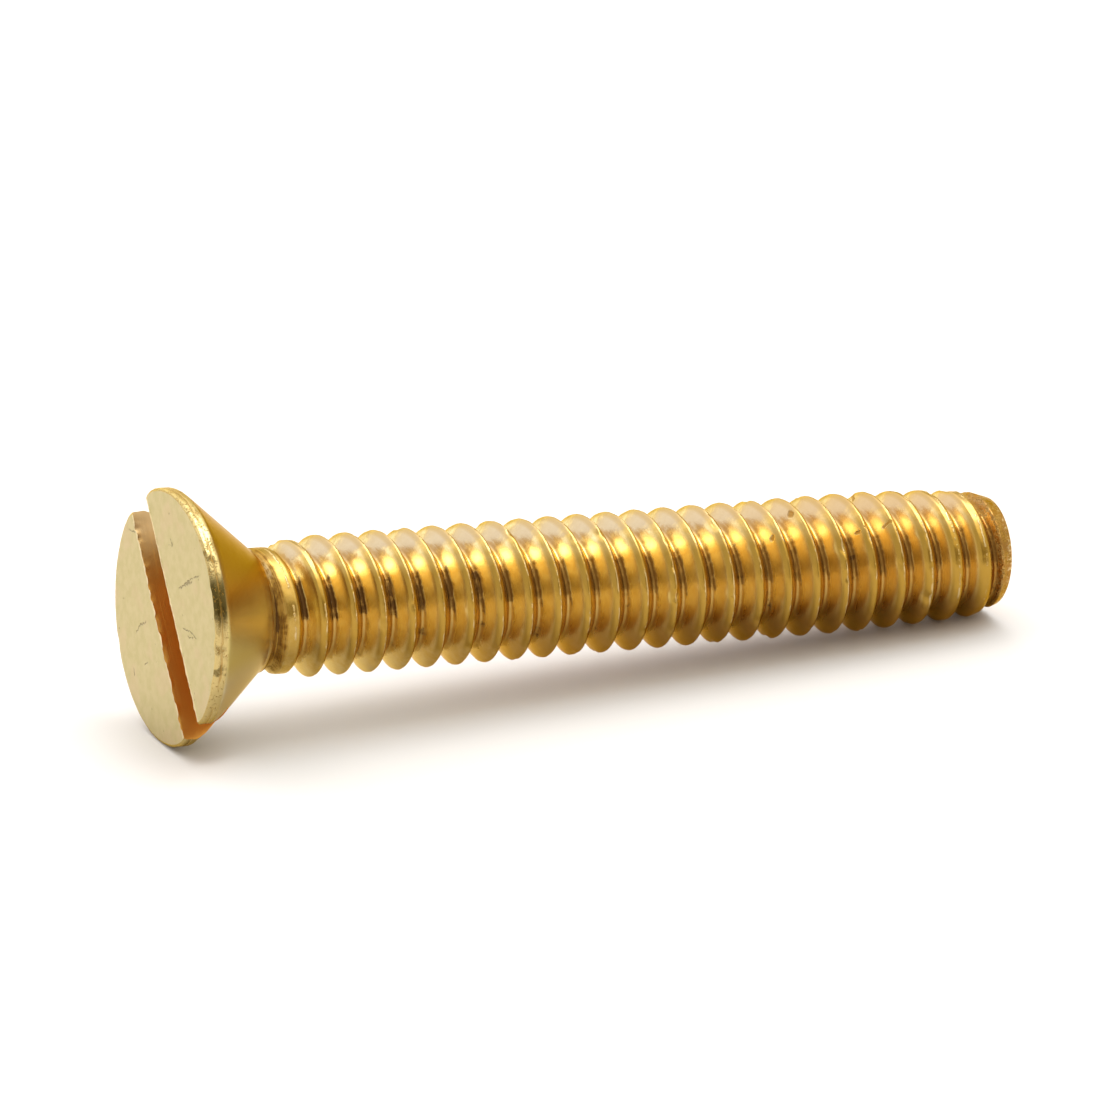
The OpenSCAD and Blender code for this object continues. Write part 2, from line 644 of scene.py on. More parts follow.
    def row_places(self) -> Array:
        """Places of the rows in one pitch, past the crest's line, closer at its corners.

        Returns:
            Distances from 0 to one pitch, with the 0 and without the pitch.
        """
        t = self.thread
        crest = t.pitch / 2 - t.floor_half - (t.crest_r - t.root_r) * t.flank_run
        bottom = t.pitch / 2 - t.root_end
        half = np.concatenate([
            crest * np.array(self.crest_rows[:-1]),
            np.linspace(crest * self.crest_rows[-1], bottom, 4),
            [bottom + (t.pitch / 2 - bottom) * 0.5],
        ])
        return np.concatenate([half, [t.pitch / 2], t.pitch - half[:0:-1]])

    def build_shank(self, work: Patchwork, ring: Array) -> None:
        """Adds cone, neck, thread and point, in rows that follow the helix.

        A row's distance from the face grows by one pitch a turn, so at the seam it meets the
        row one turn on. The first turn's rows fan out from one point of a level ring, and
        the last turn's close to one point of another. Level rings carry on from there.

        Args:
            work: Patchwork that takes them.
            ring: Numbers of the finer ring under the slot.
        """
        turn = np.linspace(0, 1, self.columns + 1)
        places = self.row_places()
        starts = [self.ring_z + n * self.thread.pitch + places for n in range(self.turns)]
        end_z = self.ring_z + self.turns * self.thread.pitch
        starts = np.concatenate([*starts, [end_z]])
        rows = starts[:, None] + self.thread.pitch * turn
        fan = self.ring_z + (starts[:len(places)] - self.ring_z)[:, None] * turn
        z = np.minimum(np.concatenate([fan, rows]), end_z)
        closing = rows[-len(places) - 1:]
        close_from = end_z + self.thread.pitch * (turn - 1)
        gap = (closing - close_from) / self.thread.pitch
        z[-len(places) - 1:] = close_from + gap * (end_z - close_from)
        angle = self.seam_angle + TAU * turn
        radius, marks = self.shank(angle, z)
        n = work.grid(self.at(radius, angle, z), Finish.BODY, marks)
        work.join_halved(ring, n[0], Finish.BODY)
        tip = self.point.length - self.point.rounding
        levels = np.concatenate([
            np.linspace(end_z, tip, 27),
            tip + self.point.rounding * np.sin(np.linspace(0, math.pi / 2, 7))[1:],
        ])[:, None]
        radius, marks = self.shank(angle, levels)
        work.grid(self.at(radius, angle, levels), Finish.BODY, marks)
        disc = radius[-1] * np.linspace(1, 0, 9)[:, None]
        work.grid(self.at(disc, angle, np.full_like(disc, self.point.length)), Finish.BODY)

    def build(self) -> bpy.types.Object:
        """Builds the screw's surface.

        Returns:
            The piece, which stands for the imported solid.
        """
        work = Patchwork()
        self.build_shank(work, self.build_head(work))
        wear = Wear(self.head, self.slot, self.thread)
        mesh = work.mesh("machine_screw", wear, self.lie)
        mesh.shade_smooth()
        mesh.set_sharp_from_angle(angle=self.sharp)
        piece = bpy.data.objects.new("machine_screw", mesh)
        bpy.context.scene.collection.objects.link(piece)
        return piece


@dataclass(frozen=True)
class ViewPoint:
    """Camera of the picture: where it stands, where it looks, its roll and its lens."""

    place: Place = (-160.224, -350.478, 142.395)
    looks_along: Place = (0.38917, 0.85724, -0.33712)
    roll: float = math.radians(-0.18)
    lens: float = 402.27
    sensor: float = 36.0

    def build(self) -> bpy.types.Object:
        """Makes the camera and gives it to the scene.

        Returns:
            The camera.
        """
        data = bpy.data.cameras.new("camera")
        data.lens = self.lens
        data.sensor_width = self.sensor
        data.clip_start = 0.01
        camera = bpy.data.objects.new("camera", data)
        camera.location = Vector(self.place) * MM
        level = Vector(self.looks_along).to_track_quat("-Z", "Y")
        camera.rotation_euler = (level @ Quaternion((0, 0, 1), self.roll)).to_euler()
        bpy.context.scene.collection.objects.link(camera)
        bpy.context.scene.camera = camera
        return camera


@dataclass
class Graph:
    """A shader's node tree, to which nodes are added one by one."""

    tree: bpy.types.NodeTree

    def add(self, kind: str, settings: dict | None = None, inputs: dict | None = None,
            output: str | int = 0) -> "Signal":
        """Adds a node: its settings are made first, then its sockets are set or linked.

        Args:
            kind: Blender's name for the type of node.
            settings: Settings by name.
            inputs: Values or signals, by the name or number of their socket.
            output: Name or number of the socket that is given back.

        Returns:
            The signal of that socket.
        """
        node = self.tree.nodes.new(kind)
        for name, value in (settings or {}).items():
            setattr(node, name, value)
        for name, value in (inputs or {}).items():
            if isinstance(value, Signal):
                self.tree.links.new(value.socket, node.inputs[name])
            else:
                node.inputs[name].default_value = value
        return Signal(self, node.outputs[output])

    def mix(self, share_of_second: "Signal | float", first: "Signal | Colour",
            second: "Signal | Colour") -> "Signal":
        """Mixes two colours or their signals, by the share of the second."""
        colours = [c if isinstance(c, Signal) else (*c, 1.0) for c in (first, second)]
        return self.add("ShaderNodeMix", {"data_type": "RGBA"},
                        {0: share_of_second, 6: colours[0], 7: colours[1]}, 2)

    def layers(self, colour: "Signal | Colour",
               *layers: tuple["Signal | float", "Signal | Colour"]) -> "Signal":
        """Lays colours over a first one in order, each where its mask is 1."""
        for mask, over in layers:
            colour = self.mix(mask, colour, over)
        return colour

    def join(self, x: "Signal | float", y: "Signal | float", z: "Signal | float") -> "Signal":
        """Vector of three numbers."""
        return self.add("ShaderNodeCombineXYZ", None, {"X": x, "Y": y, "Z": z})

    def scaled(self, vector: "Signal | Place", factor: "Signal | float") -> "Signal":
        """Vector times a number."""
        return self.add("ShaderNodeVectorMath", {"operation": "SCALE"},
                        {0: vector, "Scale": factor})

    def noise(self, at: "Signal", scale: float, detail: float,
              roughness: float = 0.5) -> "Signal":
        """Fractal noise of about 0.2 to 0.8, with scale features in one unit."""
        return self.add("ShaderNodeTexNoise", None, {
            "Vector": at, "Scale": scale, "Detail": detail, "Roughness": roughness})


@dataclass
class Signal:
    """A shader socket. Sums and products of signals and numbers add Math nodes."""

    graph: Graph
    socket: bpy.types.NodeSocket

    def maths(self, operation: str, *values: "Signal | float") -> "Signal":
        """Adds a Math node for an operation, by Blender's name, on some values."""
        return self.graph.add("ShaderNodeMath", {"operation": operation},
                              dict(enumerate(values)))

    def __add__(self, other: "Signal | float") -> "Signal":
        """Sum."""
        return self.maths("ADD", self, other)

    def __sub__(self, other: "Signal | float") -> "Signal":
        """Difference."""
        return self.maths("SUBTRACT", self, other)

    def __rsub__(self, other: float) -> "Signal":
        """Difference from a number."""
        return self.maths("SUBTRACT", other, self)

    def __mul__(self, other: "Signal | float") -> "Signal":
        """Product."""
        return self.maths("MULTIPLY", self, other)

    def __truediv__(self, other: "Signal | float") -> "Signal":
        """Quotient."""
        return self.maths("DIVIDE", self, other)

    def __rtruediv__(self, other: float) -> "Signal":
        """A number over this signal."""
        return self.maths("DIVIDE", other, self)

    __radd__ = __add__
    __rmul__ = __mul__

    def lower(self, other: "Signal | float") -> "Signal":
        """Lower of two."""
        return self.maths("MINIMUM", self, other)

    def higher(self, other: "Signal | float") -> "Signal":
        """Higher of two."""
        return self.maths("MAXIMUM", self, other)

    def size(self) -> "Signal":
        """Value without its sign."""
        return self.maths("ABSOLUTE", self)

    def root(self) -> "Signal":
        """Square root."""
        return self.maths("SQRT", self)

    def parts(self) -> list["Signal"]:
        """The three numbers of a vector."""
        split = self.graph.add("ShaderNodeSeparateXYZ", None, {0: self})
        return [Signal(self.graph, socket) for socket in split.socket.node.outputs]

    def step(self, start: float, end: float) -> "Signal":
        """Smooth step from 0 where this is start to 1 where it is end.

        Args:
            start: Value that gives 0.
            end: Value that gives 1. It may be the lower of the two.

        Returns:
            The step.
        """
        if end < start:
            return 1 - self.step(end, start)
        return self.graph.add(
            "ShaderNodeMapRange", {"interpolation_type": "SMOOTHSTEP"},
            {"Value": self, "From Min": start, "From Max": end, "To Min": 0.0, "To Max": 1.0})

    def vector(self, operation: str, *values: object, output: str | int = 0) -> "Signal":
        """Adds a Vector Math node for an operation on this vector and some values."""
        return self.graph.add("ShaderNodeVectorMath", {"operation": operation},
                              dict(enumerate((self, *values))), output)


def direction(azimuth: float, elevation: float) -> Vector:
    """Way of length 1 to a place given in degrees, from +Y towards +X and above the floor."""
    a, e = math.radians(azimuth), math.radians(elevation)
    return Vector((math.sin(a) * math.cos(e), math.cos(a) * math.cos(e), math.sin(e)))


@dataclass(frozen=True)
class Softbox:
    """A rectangular soft light that faces the screw.

    Attributes:
        name: Name of the light.
        azimuth: Where it hangs, in degrees from +Y towards +X.
        elevation: How high it hangs, in degrees above the floor.
        width: Size across, in metres.
        height: Size upwards, in metres.
        radiance: Brightness of its face.
        tint: Colour of its light.
        distance: Distance from the screw, in metres.
        mirrored: Whether the brass mirrors it.
    """

    name: str
    azimuth: float
    elevation: float
    width: float
    height: float
    radiance: float
    tint: Colour = (1.0, 1.0, 1.0)
    distance: float = 0.8
    mirrored: bool = True

    def build(self) -> None:
        """Hangs the light. Its power is its face's radiance times its area times pi."""
        way = direction(self.azimuth, self.elevation)
        data = bpy.data.lights.new(self.name, "AREA")
        data.shape = "RECTANGLE"
        data.size, data.size_y = self.width, self.height
        data.energy = self.radiance * self.width * self.height * math.pi
        data.color = self.tint
        light = bpy.data.objects.new(self.name, data)
        light.location = way * self.distance
        light.rotation_euler = (-way).to_track_quat("-Z", "Y").to_euler()
        light.visible_camera = False
        light.visible_glossy = self.mirrored
        bpy.context.scene.collection.objects.link(light)


@dataclass(frozen=True)
class Glow:
    """A soft round patch of the tent's light or dark.

    Attributes:
        azimuth: Where its middle is, in degrees from +Y towards +X.
        elevation: How high its middle is, in degrees above the floor.
        inner: Angle from its middle to which it is full, in degrees.
        outer: Angle from its middle at which it ends, in degrees.
        colour: Light of its full part.
    """

    azimuth: float
    elevation: float
    inner: float
    outer: float
    colour: Colour


@dataclass(frozen=True)
class Studio:
    """Plain pale floor in a white light tent with dimmer openings and brighter patches."""

    floor_size: float = 0.6
    floor_colour: Colour = (0.63, 0.595, 0.545)
    tent: Colour = (0.95, 0.93, 0.90)
    openings: tuple[Glow, ...] = (
        Glow(162, 15, 8, 22, (0.42, 0.34, 0.16)),
        Glow(150, 37, 4, 14, (0.70, 0.64, 0.50)),
    )
    glows: tuple[Glow, ...] = (
        Glow(70, 64, 10, 52, (0.7, 0.7, 0.7)),
        Glow(70, 68, 9, 26, (3.1, 3.6, 4.4)),
        Glow(130, 50, 10, 34, (0.75, 0.72, 0.65)),
        Glow(-15, 8, 10, 60, (0.0, 0.08, 0.35)),
    )
    lights: tuple[Softbox, ...] = (
        Softbox("light_top", -20, 40, 1.25, 1.05, 0.80, (0.96, 0.98, 1.06)),
        Softbox("light_back", -12, 42, 1.1, 0.9, 1.8, mirrored=False),
    )

    def build(self) -> None:
        """Makes the floor, the lights and the tent."""
        half = self.floor_size
        mesh = bpy.data.meshes.new("floor")
        corners = [(-half, -half, 0), (half, -half, 0), (half, half, 0), (-half, half, 0)]
        mesh.from_pydata(corners, [], [(0, 1, 2, 3)])
        floor = bpy.data.objects.new("floor", mesh)
        bpy.context.scene.collection.objects.link(floor)
        mesh.materials.append(self.paper())
        for light in self.lights:
            light.build()
        bpy.context.scene.world = self.tent_world()
        bpy.context.scene.view_settings.view_transform = "Standard"

    def tent_world(self) -> bpy.types.World:
        """Light of the tent.

        Each patch is a smooth step of the cosine between a direction and its middle. The
        openings take the tent's place, and the glows are added to it.

        Returns:
            The world.
        """
        world = bpy.data.worlds.new("light_tent")
        world.use_nodes = True
        graph = Graph(world.node_tree)
        way = graph.add("ShaderNodeTexCoord", output="Generated")

        def patch(glow: Glow) -> Signal:
            """Mask of a patch."""
            middle = direction(glow.azimuth, glow.elevation)
            near = way.vector("DOT_PRODUCT", middle, output="Value")
            limits = [math.cos(math.radians(angle)) for angle in (glow.outer, glow.inner)]
            return near.step(*limits)

        light: Signal | tuple = self.tent
        for opening in self.openings:
            light = graph.mix(patch(opening), light, opening.colour)
        for glow in self.glows:
            light = light.vector("ADD", graph.scaled(glow.colour, patch(glow)))
        background = world.node_tree.nodes["Background"]
        world.node_tree.links.new(light.socket, background.inputs["Color"])
        return world

    def paper(self) -> bpy.types.Material:
        """Matt pale paper.

        Returns:
            The material.
        """
        material = bpy.data.materials.new("floor_paper")
        material.use_nodes = True
        shader = material.node_tree.nodes["Principled BSDF"]
        shader.inputs["Base Color"].default_value = (*self.floor_colour, 1.0)
        shader.inputs["Roughness"].default_value = 0.9
        shader.inputs["Specular IOR Level"].default_value = 0.2
        return material


@dataclass(frozen=True)
class Stroke:
    """A nick or scratch: a short line along which the metal is torn.

    Attributes:
        start: Where it starts, in millimetres on the upright screw.
        end: Where it ends.
        width: Its width at its widest.
    """

    start: Place
    end: Place
    width: float = 0.09


@dataclass
class Coat:
    """A finish in the making: its material, its graph and places on the upright screw.

    Attributes:
        lie: How the screw lies.
        name: Name of the material.
        edge: Tint of what it reflects at a slant.
    """

    lie: Lie
    name: str = "brass"
    edge: Colour = (1.0, 1.0, 1.0)

    def __post_init__(self) -> None:
        """Starts the material and turns Object coordinates into the upright screw's."""
        self.material = bpy.data.materials.new(self.name)
        self.material.use_nodes = True
        self.graph = Graph(self.material.node_tree)
        self.at = self.graph.add("ShaderNodeMapping", {"vector_type": "TEXTURE"}, {
            "Vector": self.graph.add("ShaderNodeTexCoord", output="Object"),
            "Location": (self.lie.shift_x * MM, 0.0, self.lie.face_height * MM),
            "Rotation": (0.0, math.pi / 2 + self.lie.tilt, 0.0),
            "Scale": (MM, MM, MM)})
        self.x, self.y, self.z = self.at.parts()

    def noise(self, scale: float, detail: float, roughness: float = 0.5) -> Signal:
        """Noise on the upright screw, with scale features in one millimetre."""
        return self.graph.noise(self.at, scale, detail, roughness)

    def mark(self, name: str) -> Signal:
        """Attribute of the mesh's points."""
        return self.graph.add("ShaderNodeAttribute", {"attribute_name": name}, None, "Fac")

    def wavering(self, size: float, reach: float) -> Signal:
        """Places shifted by noise, so that what is drawn on them has no straight edge.

        Args:
            size: Features of the noise in one millimetre.
            reach: How far it shifts, in millimetres.

        Returns:
            The places.
        """
        shift = self.graph.add("ShaderNodeTexNoise", None, {
            "Vector": self.at, "Scale": size, "Detail": 2.0}, "Color")
        centred = shift.vector("SUBTRACT", (0.5, 0.5, 0.5))
        return self.at.vector("ADD", self.graph.scaled(centred, 2 * reach))

    def strokes(self, at: Signal, strokes: tuple[Stroke, ...]) -> Signal:
        """Mask of some strokes, from 1 on their lines to 0 at their width.

        The distance to a line is that to its nearest point: the dot product with the line,
        over its length squared, kept from 0 to 1, says how far along that point is.

        Args:
            at: Places.
            strokes: The strokes.

        Returns:
            The highest of their masks.
        """
        mask: Signal | float = 0.0
        for stroke in strokes:
            along = Vector(stroke.end) - Vector(stroke.start)
            apart = at.vector("SUBTRACT", stroke.start)
            unit = tuple(along / along.length_squared)
            part = apart.vector("DOT_PRODUCT", unit, output="Value").higher(0.0).lower(1.0)
            gap = apart.vector("SUBTRACT", self.graph.scaled(tuple(along), part))
            near = gap.vector("LENGTH", output="Value").step(stroke.width / 2, stroke.width / 5)
            mask = near.higher(mask)
        return mask

    def dress(self, colour: Signal, roughness: Signal, metal: Signal,
              height: Signal) -> bpy.types.Material:
        """Links the finish to the material's shader.

        Args:
            colour: Its colour.
            roughness: Its roughness.
            metal: How much of it is bare metal.
            height: Relief, in millimetres.

        Returns:
            The material.
        """
        shader = self.material.node_tree.nodes["Principled BSDF"]
        shader.inputs["Specular Tint"].default_value = (*self.edge, 1.0)
        bump = self.graph.add("ShaderNodeBump", None, {"Height": height, "Distance": MM})
        feeds = {"Base Color": colour, "Roughness": roughness, "Metallic": metal,
                 "Normal": bump}
        for name, signal in feeds.items():
            self.graph.tree.links.new(signal.socket, shader.inputs[name])
        return self.material


@dataclass
class CutFace(Coat):
    """Finish of the face: cut flat, dull and spotted, with nicks and a torn slot edge that carries
    a painted highlight.
    """

    name: str = "brass_face"
    straw: Colour = (0.535, 0.440, 0.210)
    olive: Colour = (0.50, 0.415, 0.185)
    rosy: Colour = (0.56, 0.425, 0.225)
    # bright: painted highlight along the slot's torn edges
    bright: Colour = (0.86, 0.70, 0.40)
    dark: Colour = (0.16, 0.11, 0.03)
    nicks: tuple[Stroke, ...] = (
        Stroke((-2.74, -0.09, 0), (-2.59, -0.28, 0)),
        Stroke((-2.59, -0.28, 0), (-2.50, 0.03, 0), 0.07),
        Stroke((-1.36, -1.02, 0), (-1.86, -1.99, 0), 0.08),
        Stroke((-1.86, -1.99, 0), (-1.66, -1.42, 0), 0.09),
        Stroke((-1.66, -1.42, 0), (-2.30, -2.55, 0), 0.07),
        Stroke((-0.13, -1.55, 0), (-0.22, -2.20, 0), 0.08),
        Stroke((-0.22, -2.20, 0), (-0.14, -2.60, 0), 0.08),
        Stroke((0.02, -1.95, 0), (-0.05, -2.35, 0), 0.06),
        Stroke((1.26, 2.24, 0), (0.94, 2.02, 0), 0.08),
        Stroke((0.94, 2.02, 0), (0.64, 1.52, 0), 0.08),
        Stroke((-1.97, 3.40, 0), (-2.07, 2.78, 0), 0.07),
        Stroke((1.95, 1.20, 0), (2.10, 1.42, 0), 0.08),
        Stroke((2.50, 2.30, 0), (2.70, 2.20, 0), 0.09),
    )

    def build(self, slot: SlotSizes) -> bpy.types.Material:
        """Makes the material.

        Args:
            slot: Sizes of the slot.

        Returns:
            The material.
        """
        graph = self.graph
        blotch, cloud = self.noise(0.7, 3), self.noise(2.6, 4, 0.6)
        grain = self.noise(14, 3, 0.6)
        _, across = slot.along_across(self.x, self.y)
        # Band along the slot's torn edges: a small bump, and the place of a painted highlight
        torn = (across.size() - slot.half_width - (grain - 0.35) * 0.2).step(0.07, 0.02)
        pits = graph.add("ShaderNodeTexVoronoi", None, {"Vector": self.at, "Scale": 1.7})
        pits = pits.step(0.085, 0.03) * cloud.step(0.4, 0.5)
        nicks = self.strokes(self.wavering(7.0, 0.10), self.nicks)
        nicks = nicks * (0.55 + grain.step(0.4, 0.55) * 0.45)
        spoilt = nicks.higher(pits * 0.6)
        colour = graph.layers(
            self.straw,
            (cloud.step(0.36, 0.66), self.olive),
            (blotch.step(0.5, 0.62) * 0.55, self.rosy),
            # Lighter colour along the torn edges: painted highlight on the burr
            (torn * 0.5, self.bright),
            (spoilt * 0.75, self.dark))
        roughness = 0.34 + cloud * 0.16 + spoilt * 0.2
        height = grain * 0.002 + cloud * 0.004 - spoilt * 0.03 + torn * 0.01
        return self.dress(colour, roughness, 1.0 - spoilt * 0.6, height)


@dataclass
class SawnSlot(Coat):
    """Finish of the slot: saw marks along it, painted shade that deepens to its floor, and a
    greyer tone at its upper end, painted for the light that falls there.
    """

    name: str = "brass_slot"
    # pale: greyer tone painted for the light at the slot's upper end
    pale: Colour = (0.31, 0.22, 0.115)
    golden: Colour = (0.68, 0.37, 0.075)
    # brown: painted shade towards the slot's floor, and the saw marks
    brown: Colour = (0.68, 0.335, 0.06)

    def build(self, slot: SlotSizes) -> bpy.types.Material:
        """Makes the material.

        Args:
            slot: Sizes of the slot.

        Returns:
            The material.
        """
        graph = self.graph
        along, across = slot.along_across(self.x, self.y)
        sawn = graph.noise(graph.join(along * 0.25, across * 6.0, self.z * 6.0), 1.6, 4, 0.65)
        cloud = self.noise(1.8, 4, 0.6)
        # Painted shade: the slot turns brown towards its floor
        deep = (self.z + (cloud - 0.5) * 0.4).step(0.0, 1.1)
        # Greyer tone at the slot's upper end, painted for the light that falls there
        upper = (0.0 - along + (cloud - 0.5) * 1.2).step(1.2, 3.9)
        colour = graph.layers(
            self.golden,
            (deep, self.brown),
            (upper * 0.85, self.pale),
            (sawn.step(0.55, 0.75) * 0.3, self.brown))
        roughness = 0.34 + sawn * 0.2
        height = sawn * 0.012 + cloud * 0.004
        return self.dress(colour, roughness, 1.0 - deep * 0.1, height)


@dataclass
class RolledBrass(Coat):
    """Finish of land, cone and thread: rolled and turned brass with brown oxide in its grooves,
    and painted light and shade.

    Places are in millimetres on the upright screw, where +X comes to lie downwards. Up and
    down are the cosines of the angle round the axis from straight up and straight down.
    """

    name: str = "brass_body"
    edge: Colour = (1.0, 0.77, 0.36)
    head: HeadSizes = HeadSizes()
    thread: ThreadSizes = ThreadSizes()
    point: PointSizes = PointSizes()
    gold: Colour = (0.72, 0.53, 0.20)
    deep: Colour = (0.66, 0.45, 0.13)
    cone: Colour = (0.62, 0.51, 0.20)
    # olive: painted floor reflection on the cone's lower side
    olive: Colour = (0.60, 0.53, 0.36)
    straw: Colour = (0.56, 0.425, 0.175)
    # painted floor reflection on the thread's underside near the head
    floor_sheen: Colour = (0.62, 0.54, 0.33)
    # pale: painted reflection on the thread's top
    pale: Colour = (0.42, 0.335, 0.235)
    # amber: painted shade on the crests
    amber: Colour = (0.385, 0.22, 0.030)
    # painted dark band along the cone's upper side
    cone_shade: Colour = (0.28, 0.135, 0.028)
    # Dark tarnished colour, also laid on the land as painted shade
    tarnish_and_shade: Colour = (0.062, 0.043, 0.008)
    # Brown of the grooves' oxide and of their painted shade, also of nicks and pits
    stain_and_shade: Colour = (0.36, 0.18, 0.03)
    # Near-black: painted dark reflection in the roots towards -Y, dark patches, and the neck's
    # oxide
    soot_and_shade: Colour = (0.09, 0.04, 0.012)
    lit: Colour = (0.92, 0.82, 0.50)
    # worn: pale crest line, rubbed metal and painted highlight, and chips at the flat end
    worn: Colour = (0.66, 0.49, 0.25)
    # umber: painted shade on the underside towards the point
    umber: Colour = (0.50, 0.25, 0.045)
    russet: Colour = (0.33, 0.16, 0.035)
    nicks: tuple[Stroke, ...] = (
        Stroke((-1.49, -1.39, 24.46), (-1.76, -1.53, 24.78), 0.15),
        Stroke((-1.59, -1.28, 25.53), (-1.83, -1.38, 25.74), 0.15),
        Stroke((-2.10, -0.68, 22.27), (-2.06, -0.52, 22.47), 0.34),
        Stroke((-1.55, -1.44, 21.30), (-1.59, -1.38, 21.42), 0.22),
        Stroke((-1.97, 0.96, 25.46), (-1.96, 0.75, 25.38), 0.18),
    )

    def __post_init__(self) -> None:
        """Adds what its parts share: noises, lines of rolling, and masks of where a place is."""
        super().__post_init__()
        x, y, z = self.x, self.y, self.z
        neck, bevel = self.thread.neck_z, self.point.length - self.point.bevel
        self.groove, self.past = self.mark("groove"), self.mark("past")
        self.cloud, self.blot = self.noise(0.9, 3), self.noise(3.4, 4, 0.65)
        self.grain, self.ragged = self.noise(15, 3, 0.6), self.noise(5.0, 3, 0.7)
        lines = self.graph.join(x * 0.5, y * 0.5, z * 2.0 + self.groove * 9.0)
        self.lines = self.graph.noise(lines, 1.7, 4, 0.65)
        self.on_land = z.step(self.head.rim_h + 0.05, self.head.rim_h - 0.03)
        self.on_thread = z.step(neck - 0.2, neck + 0.1)
        self.on_point = z.step(bevel - 0.1, bevel + 0.2)
        self.up = (0.0 - x) / (x * x + y * y).root() + self.uneven(0.14)
        self.down = 0.0 - self.up
        near_neck = z.step(neck - 0.05, neck + 0.05) * z.step(3.7, 3.5)
        near_neck = near_neck * self.past.size().step(0.16, 0.28)
        self.neck = near_neck * (0.55 + self.blot.step(0.4, 0.6) * 0.45)

    def uneven(self, size: float) -> Signal:
        """Noise about 0 that makes the edge of a mask uneven."""
        return (self.blot - 0.5) * size

    def bare(self) -> Signal:
        """Colour of thread, cone and land before the grooves' brown and the darker marks are laid
        over it.

        The cone is paler olive below, a painted floor reflection, with a painted dark band along
        its upper side and a painted dark reflection along its top. The land darkens downwards:
        painted shade.

        Returns:
            The colour.
        """
        graph, x, z = self.graph, self.x, self.z
        thread = graph.mix(self.blot.step(0.35, 0.65), self.gold, self.deep)
        fall = (z - self.head.rim_h) * math.tan(self.head.cone_half_angle)
        cone = graph.layers(
            self.cone,
            # Paler olive on the cone's lower side: painted floor reflection
            (x.step(0.2, 1.3), self.olive),
            # Painted dark band along the cone's upper side
            ((x + self.uneven(0.3)).step(-0.7, -1.9) * 0.96, self.cone_shade),
            # Painted dark reflection along the cone's top line
            ((fall * 0.97 - x).step(4.12, 4.24) * 0.7, self.stain_and_shade))
        # The land darkens a little downwards: painted shade
        land = graph.mix(x.step(0.5, 1.7) * 0.2, self.straw, self.tarnish_and_shade)
        return graph.layers(cone, (self.on_thread, thread), (self.on_land, land))

    def toned(self, colour: Signal) -> Signal:
        """Colour of the thread by how each place faces and how far down the shank it is.

        The crests are amber but for their underside: painted shade, set by how they face. The
        grooves' flanks are bright where they face the light from above, and russet where they face
        down near the point. The top is paler, a painted reflection; the underside near the head is
        paler, a painted floor reflection;
        the underside towards the point gets painted umber shade, and the shank darkens towards the
        point.

        Args:
            colour: Bare colour.

        Returns:
            The colour.
        """
        graph, z, groove, up, down = self.graph, self.z, self.groove, self.up, self.down
        neck = self.thread.neck_z
        # Underside towards the point: painted shade
        below = down.step(0.0, 0.85) * self.on_thread * z.step(6.0, 15.0) * 0.7
        # Crests darker amber, set by how they face: painted shade
        crest = (groove + self.uneven(0.08)).step(0.32, 0.12) * self.on_thread
        crest = crest * z.step(neck + 0.8, neck + 1.5) * 0.9 * (0.45 + up.step(0.78, 0.62) * 0.55)
        crest = crest.higher(z.step(4.25, 3.95) * self.on_thread * 0.7) * up.step(-0.75, -0.45)
        lit = up.step(0.73, 0.81) * up.step(0.96, 0.90) * groove.step(0.1, 0.4) * self.on_thread
        lit = lit * groove.step(1.0, 0.8) * (0.25 + z.step(22.0, 14.0) * 0.3)
        shady = down.step(0.3, 0.75) * z.step(15.0, 21.0) * (0.75 - down.step(0.6, 0.95) * 0.5)
        ending = self.on_point * (0.6 + self.blot.step(0.42, 0.6) * 0.4)
        return graph.layers(
            colour,
            # Top of the thread paler: painted reflection
            (up.step(0.90, 0.985) * self.on_thread * 0.75, self.pale),
            # Underside near the head paler: painted floor reflection
            (down.step(0.66, 1.0) * z.step(13.0, 8.0) * self.on_thread * 0.75, self.floor_sheen),
            # Painted shade on the underside towards the point, and darker all round towards the
            # point
            (below.higher(z.step(16.0, 26.0) * 0.3), self.umber),
            (crest, self.amber),
            (lit, self.lit),
            (shady.higher(ending), self.russet))

    def stained_and_shaded(self) -> tuple[Signal, Signal]:
        """Masks of the brown in the grooves and at the neck, and of the near-black over it.

        The brown is oxide with painted shade, weighted by how each place faces. The near-black is
        a painted dark reflection along the side towards -Y and up, and elsewhere dark patches and
        the neck's oxide. The lines of rolling break it up.

        Returns:
            The two masks.
        """
        x, y, z, groove, up, lines = self.x, self.y, self.z, self.groove, self.up, self.lines
        # Brown in the roots: oxide, with painted shade set by how each place faces
        stain_and_shade = (groove + self.uneven(0.4) + (self.cloud - 0.5) * 0.3).step(0.74, 0.92)
        stain_and_shade = stain_and_shade * up.step(0.80, 0.72).higher(up.step(0.86, 0.92) * 0.6)
        stain_and_shade = (stain_and_shade * (0.6 + up.step(0.0, 0.3) * 0.4) * self.on_thread).higher(self.neck)
        # Roots on the side towards -Y and up: painted dark reflection
        beside = (x * -0.42 + y * -0.906 + self.uneven(0.5)).step(1.6, 1.72)
        soot_and_shade = beside * (0.6 + z.step(14.0, 7.0) * 0.4)
        soot_and_shade = soot_and_shade.higher((self.cloud + self.blot * 0.4).step(0.84, 0.94) * up.step(0.80, 0.68))
        soot_and_shade = soot_and_shade * (groove + self.uneven(0.2)).step(0.80, 0.90) * self.on_thread
        soot_and_shade = soot_and_shade * (lines - z.step(8.0, 5.0) * 0.1).step(0.64, 0.56)
        at_neck = self.neck * (lines * 0.6 + self.blot * 0.4).step(0.46, 0.57) * 0.65
        return stain_and_shade, soot_and_shade.higher(at_neck)

